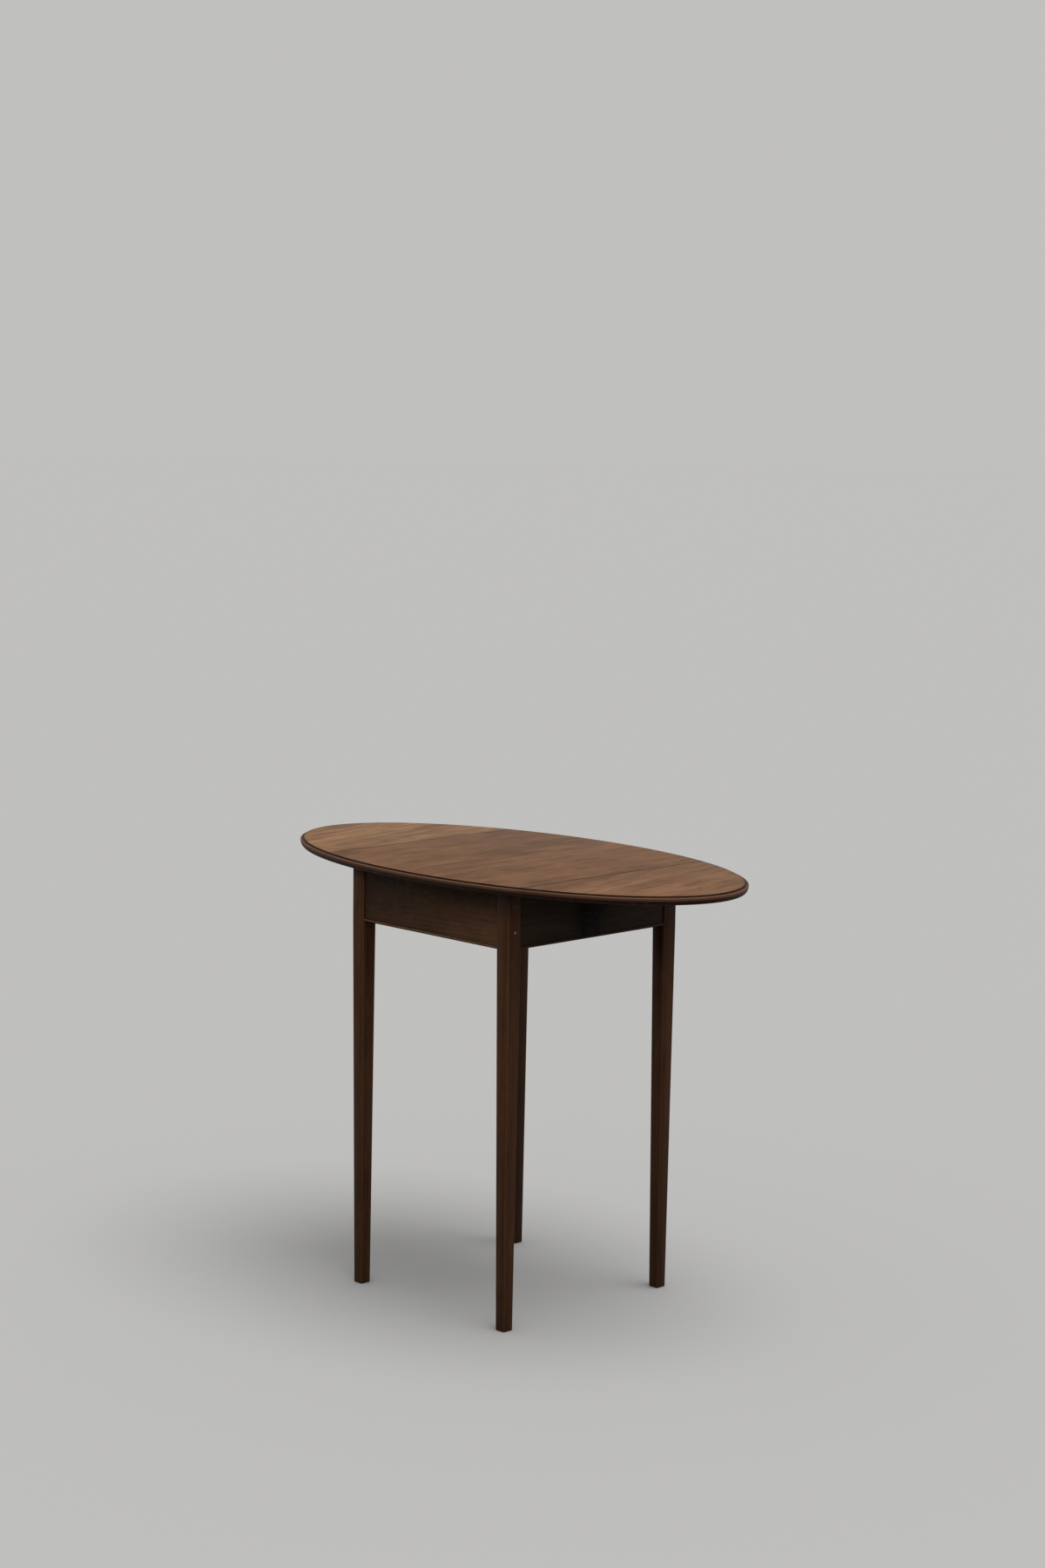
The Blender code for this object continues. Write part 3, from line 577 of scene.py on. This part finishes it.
def mark_edges(obj):
    """Dirt and painted shade in the step, wear along the nose, and painted shade where the nose turns under.
    """
    bm = bmesh.new()
    bm.from_mesh(obj.data)
    bmesh.ops.dissolve_verts(bm, verts=[vert for vert in bm.verts if len(vert.link_edges) == 2])
    wear_highlight_and_shade = bm.faces.layers.float.new("wear_highlight_and_shade")
    grime_and_shade = bm.faces.layers.float.new("grime_and_shade")
    for face in bm.faces:
        z, up = face.calc_center_median().z, face.normal.z
        # Dirt and painted shade in the step's corner
        if STEP_DIRT_AND_SHADE_LOW < z < TOP - TOP_SKIN:
            face[grime_and_shade] = 1.0
        # The ledge: worn, with dirt and painted shade
        elif LEDGE_LOW < z < TOP - TOP_SKIN:
            face[wear_highlight_and_shade] = NOSE_WEAR
            face[grime_and_shade] = LEDGE_DIRT_AND_SHADE
        # The nose: worn, with painted shade darkening it where it turns under
        elif UNDERSIDE + UNDERSIDE_SKIN < z < TOP and abs(up) < LEVEL:
            face[wear_highlight_and_shade] = NOSE_WEAR
            face[grime_and_shade] = min(1.0, max(0.0, (NOSE_SHADE_TOP - (z - UNDERSIDE)) / NOSE_SHADE_FADE))
    bm.to_mesh(obj.data)
    bm.free()
    shade(obj.data, BOARD_SHARP_ANGLE)


NOSE = (0.216, 0.106, 0.064)
CENTRE_PALE, CENTRE_DEEP = (0.236, 0.110, 0.0515), (0.095, 0.041, 0.0125)
RIGHT_PALE, RIGHT_DEEP = (0.282, 0.138, 0.0665), (0.110, 0.047, 0.0155)
LEFT_PALE, LEFT_DEEP = (0.360, 0.186, 0.0815), (0.131, 0.060, 0.0245)
# Each leaf drawn darker towards its rule joint
RIGHT_LEAF_DARKENING = (("x", 0.315, 0.225, 0.32),)
LEFT_LEAF_DARKENING = (("x", -0.285, -0.225, 0.13),)

TOP_WOODS = {
    "centre_board": wood(
        "centre_board_wood", CENTRE_PALE, CENTRE_DEEP, "Y", (0.3, 0.04, -0.62), tilt=-2.5, lean=1.2,
        wear_highlight_and_shade=NOSE, board=True,
    ),
    "right_leaf": wood(
        "right_leaf_wood", RIGHT_PALE, RIGHT_DEEP, "Y", (0.7, 0.31, -0.63), tilt=-11, lean=1.6,
        wear_highlight_and_shade=NOSE, board=True, darkening=RIGHT_LEAF_DARKENING,
    ),
    "left_leaf": wood(
        "left_leaf_wood", LEFT_PALE, LEFT_DEEP, "Y", (1.3, -0.36, -0.61), tilt=-9, lean=-1.4,
        wear_highlight_and_shade=NOSE, board=True, darkening=LEFT_LEAF_DARKENING,
    ),
}

centre = oval_slab("centre_board_dressed")
for label, side in SIDES.items():
    cut(centre, board_cutter(side))
    leaf = oval_slab(f"{label}_leaf_dressed")
    cut(leaf, leaf_region(side), "INTERSECT")
    for y in (-HINGE_Y, HINGE_Y):
        joint = HINGE_X + OVOLO_RADIUS
        cut(centre, flap_mortise(side, y, HINGE_X - FIXED_FLAP_WIDTH - GAP, joint + OVERCUT))
        cut(centre, knuckle_slot(side, y))
        cut(leaf, flap_mortise(side, y, joint - OVERCUT, HINGE_X + LEAF_FLAP_WIDTH + GAP))
    mark_edges(leaf)
    settle(leaf, TOP_WOODS[f"{label}_leaf"], f"{label}_leaf_body", "leaf_wood", f"{label}_leaf")
mark_edges(centre)
settle(centre, TOP_WOODS["centre_board"], "frame", "centre_board_wood", "centre_board")


# Every other piece: the solid's own shape with eased edges, marked for wear, painted highlight and painted
# shade

def dressed(node, ease):
    """A copy of a node's shape with its flat faces joined up and its edges eased."""
    bm = bmesh.new()
    bm.from_mesh(NODES[node].data)
    bmesh.ops.remove_doubles(bm, verts=bm.verts, dist=WELD)
    bmesh.ops.dissolve_limit(bm, angle_limit=FLAT_ANGLE, verts=bm.verts, edges=bm.edges)
    wear_highlight_and_shade = bm.faces.layers.float.new("wear_highlight_and_shade")
    bm.faces.layers.float.new("grime_and_shade")
    for face in bm.faces:
        # Slanted faces and eased edges are marked for wear; with the legs' and brackets' colours this paints
        # a highlight on the legs and shade on the brackets
        slant = max(abs(axis) for axis in face.normal)
        face[wear_highlight_and_shade] = CHAMFER_WEAR_HIGHLIGHT_AND_SHADE if slant < SQUARE else 0.0
    if ease:
        sharp = [edge for edge in bm.edges if edge.is_manifold and edge.calc_face_angle() > SHARP_ANGLE]
        made = bmesh.ops.bevel(
            bm, geom=sharp, offset=ease, offset_type="OFFSET", segments=EASE_SEGMENTS, profile=0.5,
            affect="EDGES", clamp_overlap=True,
        )
        for face in made["faces"]:
            face[wear_highlight_and_shade] = 1.0
    return mesh_object(f"{node}_dressed", bm)


def dress(node, material, slot, ease=EDGE_EASE):
    obj = dressed(node, ease)
    settle(obj, material, body_of(node), slot, node)
    return obj


def dress_bead(node, material):
    """A bead, with a painted highlight on its upper side and painted shade underneath."""
    obj = dress(node, material, "bead_wood", FINE_EASE)
    wear_highlight_and_shade, grime_and_shade = (obj.data.attributes[name].data for name in ("wear_highlight_and_shade", "grime_and_shade"))
    for face in obj.data.polygons:
        # Painted highlight on the upward faces, painted shade on the downward ones
        wear_highlight_and_shade[face.index].value = BEAD_HIGHLIGHT_SHARE if BEAD_HIGHLIGHT_FACING[0] < face.normal.z < BEAD_HIGHLIGHT_FACING[1] else 0.0
        grime_and_shade[face.index].value = 1.0 if face.normal.z < BEAD_SHADE_FACING else 0.0


LEG_PALE, LEG_DEEP = (0.118, 0.046, 0.018), (0.056, 0.021, 0.008)
# Wear and painted highlight on the legs' eased arrises
LEG_ARRIS_WEAR_AND_HIGHLIGHT = (0.180, 0.081, 0.037)
# Painted light: the end aprons' wood is drawn paler than the legs' to make up for the shade under the top;
# the side panels and fly rails are drawn much darker than the end aprons
END_PALE, END_DEEP = (0.298, 0.148, 0.077), (0.132, 0.063, 0.031)
SIDE_PALE, SIDE_DEEP = (0.068, 0.047, 0.033), (0.036, 0.026, 0.018)
BEAD_PALE, BEAD_DEEP = (0.116, 0.055, 0.026), (0.060, 0.027, 0.013)
# Painted highlight on the upper side of the front and back beads
BEAD_HIGHLIGHT = (0.290, 0.160, 0.095)
SIDE_BEAD_PALE, SIDE_BEAD_DEEP = (0.066, 0.035, 0.020), (0.034, 0.018, 0.010)
INNER_PALE, INNER_DEEP = (0.190, 0.110, 0.058), (0.106, 0.058, 0.030)
BRACKET_PALE, BRACKET_DEEP = (0.066, 0.058, 0.049), (0.034, 0.030, 0.025)
# Painted shade: the brackets' eased edges drawn darker than their faces
BRACKET_EDGE_SHADE = (0.022, 0.019, 0.016)
PEG_PALE, PEG_DEEP = (0.440, 0.340, 0.248), (0.304, 0.227, 0.157)
# How bright each peg is drawn, as a share of the peg colours: the upper pegs and the back legs' pegs are
# darker
PEG_TONES = {
    ("front", "upper"): 0.30,
    ("front", "lower"): 1.0,
    ("back", "upper"): 0.14,
    ("back", "lower"): 0.22,
}

# Painted shade on the end aprons: darker towards the top under the overhanging top, darker at the bottom over
# the bead (dirt and painted shade in the quirk), and darker towards the left. Painted shade at the top of
# each leg under the top, and down its length, darker towards the foot
APRON_PAINTED_SHADE = (("z", 0.603, 0.668, 0.92), ("z", 0.612, 0.602, 0.25), ("x", 0.16, -0.17, 0.80))
LEG_SHADE_TOP = 0.684
LEG_SHADE_AMOUNT = 0.95
LEG_FOOTWARD_SHADE = ("z", 0.55, -0.35, 0.60)

# Tone of each leg's wood, set per leg to match how each is lit, so partly painted light and shade, darkest on
# the back left leg, which stands in shade; and the height at which its painted shade starts
LEG_TONES_AND_SHADE = {
    "right_front": (1.12, 0.636),
    "left_front": (1.16, 0.662),
    "right_back": (0.96, 0.510),
    "left_back": (0.72, 0.612),
}

IRON = metal("hinge_iron", (0.060, 0.055, 0.050), (0.060, 0.030, 0.016), 0.48)
STEEL = metal("pin_steel", (0.200, 0.190, 0.180), (0.070, 0.038, 0.022), 0.40)

for label, side in SIDES.items():
    spread = 0.37 * side
    for place, sign in ENDS.items():
        stem = f"{label}_{place}"
        pith = (1.1 * side + sign, 0.045 + 0.11 * sign, 0.17 + 0.06 * side)
        tone, shade_start = LEG_TONES_AND_SHADE[stem]
        pale, deep, wear_and_highlight = (scaled(colour, tone) for colour in (LEG_PALE, LEG_DEEP, LEG_ARRIS_WEAR_AND_HIGHLIGHT))
        # Painted shade: each leg darker towards its top under the top and towards its foot
        leg_wood = wood(
            f"{stem}_leg_wood", pale, deep, "Z", pith, lean=0.8 * sign, ring=60, gloss=0.45, wear_highlight_and_shade=wear_and_highlight,
            darkening=(("z", shade_start, LEG_SHADE_TOP, LEG_SHADE_AMOUNT), LEG_FOOTWARD_SHADE),
        )
        dress(f"{stem}_leg", leg_wood, "leg_wood", ease=0)
        for level in ("upper", "lower"):
            pale, deep = (scaled(colour, PEG_TONES[place, level]) for colour in (PEG_PALE, PEG_DEEP))
            peg_wood = wood(f"{stem}_{level}_peg_wood", pale, deep, "Y", (0.4, spread, sign), gloss=0.6)
            dress(f"{stem}_{level}_peg", peg_wood, "peg_wood", PANEL_EASE)
        dress(f"{stem}_hinge_fixed_flap", IRON, "hinge_iron", FINE_EASE)
        dress(f"{stem}_hinge_leaf_flap", IRON, "hinge_iron", FINE_EASE)
        dress(f"{stem}_hinge_pin", STEEL, "pin_steel", FINE_EASE)
    rail_wood = wood(
        f"{label}_fly_rail_wood", SIDE_PALE, SIDE_DEEP, "Y", (0.9, spread, -0.55), tilt=1, gloss=0.55,
        streak=0.6, sheen=0.03,
    )
    dress(f"{label}_fly_rail", rail_wood, "apron_wood", RAIL_EASE)
    panel_wood = wood(
        f"{label}_side_panel_wood", SIDE_PALE, SIDE_DEEP, "Y", (2.9, spread, -0.57), tilt=-1, gloss=0.55,
        streak=0.6, sheen=0.03,
    )
    dress(f"{label}_side_panel", panel_wood, "apron_wood", PANEL_EASE)
    inner_wood = wood(
        f"{label}_inner_rail_wood", INNER_PALE, INNER_DEEP, "Y", (4.1, spread, -0.6), gloss=0.7
    )
    dress(f"{label}_inner_rail", inner_wood, "inner_wood")
    dress(f"{label}_stop_block", inner_wood, "inner_wood")
    bead_wood = wood(
        f"{label}_bead_wood", SIDE_BEAD_PALE, SIDE_BEAD_DEEP, "Y", (5.2, spread, -0.6), gloss=0.5
    )
    dress_bead(f"{label}_bead", bead_wood)
    dress(f"{label}_knuckle_pin", STEEL, "pin_steel", FINE_EASE)
    bracket_wood = wood(
        f"{label}_fly_bracket_wood", BRACKET_PALE, BRACKET_DEEP, "X", (6.3, 0.05, -0.6), gloss=0.75,
        wear_highlight_and_shade=BRACKET_EDGE_SHADE, sheen=0.02,
    )
    dress(f"{label}_fly_bracket", bracket_wood, "bracket_wood", RAIL_EASE)

for place, sign in ENDS.items():
    apron_wood = wood(
        f"{place}_apron_wood", END_PALE, END_DEEP, "X", (0.6 * sign, 0.2, -0.66), lean=1.5, gloss=0.55,
        streak=0.6, sheen=0.07, darkening=APRON_PAINTED_SHADE,
    )
    dress(f"{place}_apron", apron_wood, "apron_wood")
    bead_wood = wood(
        f"{place}_bead_wood", BEAD_PALE, BEAD_DEEP, "X", (sign, 0.2, -0.6), gloss=0.42, wear_highlight_and_shade=BEAD_HIGHLIGHT
    )
    dress_bead(f"{place}_bead", bead_wood)
    for number in (1, 2):
        glue_wood = wood(
            f"{place}_glue_block_{number}_wood", INNER_PALE, INNER_DEEP, "X", (number, 0.2, -0.6), gloss=0.75
        )
        dress(f"{place}_glue_block_{number}", glue_wood, "inner_wood")


# Screws: slotted countersunk heads seen from below

HEAD_RISE = 0.00035
HEAD_TAPER = 0.86
HEAD_SIDES = 28
HEAD_PROUD = 0.0002
SLOT_WIDTH = 0.32
SLOT_LENGTH = 3
FIRST_TURN = 0.7
NEXT_TURN = 2.1
PLACE_TURN = 3
HINGE_SCREW_RADIUS = 0.0028
BLOCK_SCREW_RADIUS = 0.0024

# Inset from the hinge line and shift along it of each screw in a flap
FIXED_SCREWS = ((0.0085, -0.013), (0.0085, 0.013), (0.0195, 0.0))
LEAF_SCREWS = ((-0.0205, -0.013), (-0.0205, 0.013), (-0.0325, 0.0))


def screws(name, body, centres, radius):
    """Heads that face down, each a low cone with a slot across it, turned as they happened to stop."""
    heads, slots = bmesh.new(), bmesh.new()
    for number, centre in enumerate(centres):
        turn = FIRST_TURN + NEXT_TURN * number + PLACE_TURN * centre[1]
        place = Matrix.Translation(centre) @ Matrix.Rotation(turn, 4, "Z")
        bmesh.ops.create_cone(
            heads, cap_ends=True, segments=HEAD_SIDES, radius1=HEAD_TAPER * radius, radius2=radius,
            depth=HEAD_RISE, matrix=place @ Matrix.Translation((0, 0, HEAD_RISE / 2)),
        )
        slot = Matrix.Diagonal((SLOT_LENGTH * radius, SLOT_WIDTH * radius, HEAD_RISE, 1))
        bmesh.ops.create_cube(slots, size=1, matrix=place @ slot)
    obj = mesh_object(name, heads)
    cut(obj, mesh_object("slots", slots))
    shade(obj.data, SHARP_ANGLE)
    settle(obj, STEEL, body, "hinge_iron")


for label, side in SIDES.items():
    leaf_body = f"{label}_leaf_body"
    for place, sign in ENDS.items():
        for flap, body, spots in (("fixed", "frame", FIXED_SCREWS), ("leaf", leaf_body, LEAF_SCREWS)):
            centres = [
                (side * (HINGE_X - inset), sign * HINGE_Y + shift, FLAP_LOW - HEAD_PROUD)
                for inset, shift in spots
            ]
            screws(f"{label}_{place}_hinge_{flap}_screws", body, centres, HINGE_SCREW_RADIUS)
    centres = [(side * x, side * STOP_BLOCK_Y, STOP_BLOCK_BOTTOM - HEAD_PROUD) for x in STOP_BLOCK_SCREWS]
    screws(f"{label}_stop_block_screws", leaf_body, centres, BLOCK_SCREW_RADIUS)


# Floor, world and light

FLOOR_COLOUR = (0.530, 0.526, 0.518)
FLOOR_BOUNCE = (0.05, 0.05, 0.049)
FLOOR_RADIUS = 60
FLOOR_SIDES = 96
AMBIENT = (0.50, 0.50, 0.50)
SUN_STRENGTH = 1.60
SUN_SPREAD = math.radians(45)
SUN_PLACE = (0.26, 0.05, 1.0)


def pale_floor():
    bm = bmesh.new()
    bmesh.ops.create_circle(bm, cap_ends=True, segments=FLOOR_SIDES, radius=FLOOR_RADIUS)
    floor = mesh_object("floor", bm)
    g = Graph(bpy.data.materials.new("pale_floor"))
    shader = g.tree.nodes["Principled BSDF"].inputs
    g.feed(shader["Base Color"], g.mix(g.seen(), FLOOR_BOUNCE, FLOOR_COLOUR))
    shader["Roughness"].default_value = 0.9
    shader["Specular IOR Level"].default_value = 0.1
    floor.data.materials.append(g.owner)


def soft_world():
    g = Graph(bpy.data.worlds.new("studio"))
    g.feed(g.tree.nodes["Background"].inputs["Color"], g.mix(g.seen(), AMBIENT, FLOOR_COLOUR))
    bpy.context.scene.world = g.owner


def overhead_light():
    lamp = bpy.data.lights.new("overhead", "SUN")
    lamp.energy = SUN_STRENGTH
    lamp.angle = SUN_SPREAD
    obj = bpy.data.objects.new("overhead", lamp)
    bpy.context.scene.collection.objects.link(obj)
    obj.rotation_euler = Vector(SUN_PLACE).to_track_quat("Z", "Y").to_euler()


# Camera, at the place that the photograph was taken from

CAMERA_PLACE = (3.3276, -3.1973, 1.4271)
CAMERA_YAW = -0.8031
CAMERA_PITCH = -0.13154
CAMERA_ROLL = 0.0133
CAMERA_LENS = 67.52
SENSOR_WIDTH = 36


def photo_camera():
    data = bpy.data.cameras.new("photo_camera")
    data.sensor_width = SENSOR_WIDTH
    data.lens = CAMERA_LENS
    obj = bpy.data.objects.new("photo_camera", data)
    bpy.context.scene.collection.objects.link(obj)
    flat = math.cos(CAMERA_PITCH)
    forward = Vector((math.sin(CAMERA_YAW) * flat, math.cos(CAMERA_YAW) * flat, math.sin(CAMERA_PITCH)))
    level = Vector((math.cos(CAMERA_YAW), -math.sin(CAMERA_YAW), 0))
    upright = level.cross(forward)
    right = math.cos(CAMERA_ROLL) * level + math.sin(CAMERA_ROLL) * upright
    up = math.cos(CAMERA_ROLL) * upright - math.sin(CAMERA_ROLL) * level
    obj.matrix_world = Matrix.Translation(CAMERA_PLACE) @ Matrix((right, up, -forward)).transposed().to_4x4()
    bpy.context.scene.camera = obj


pale_floor()
soft_world()
overhead_light()
photo_camera()
bpy.context.scene.view_settings.view_transform = "Standard"
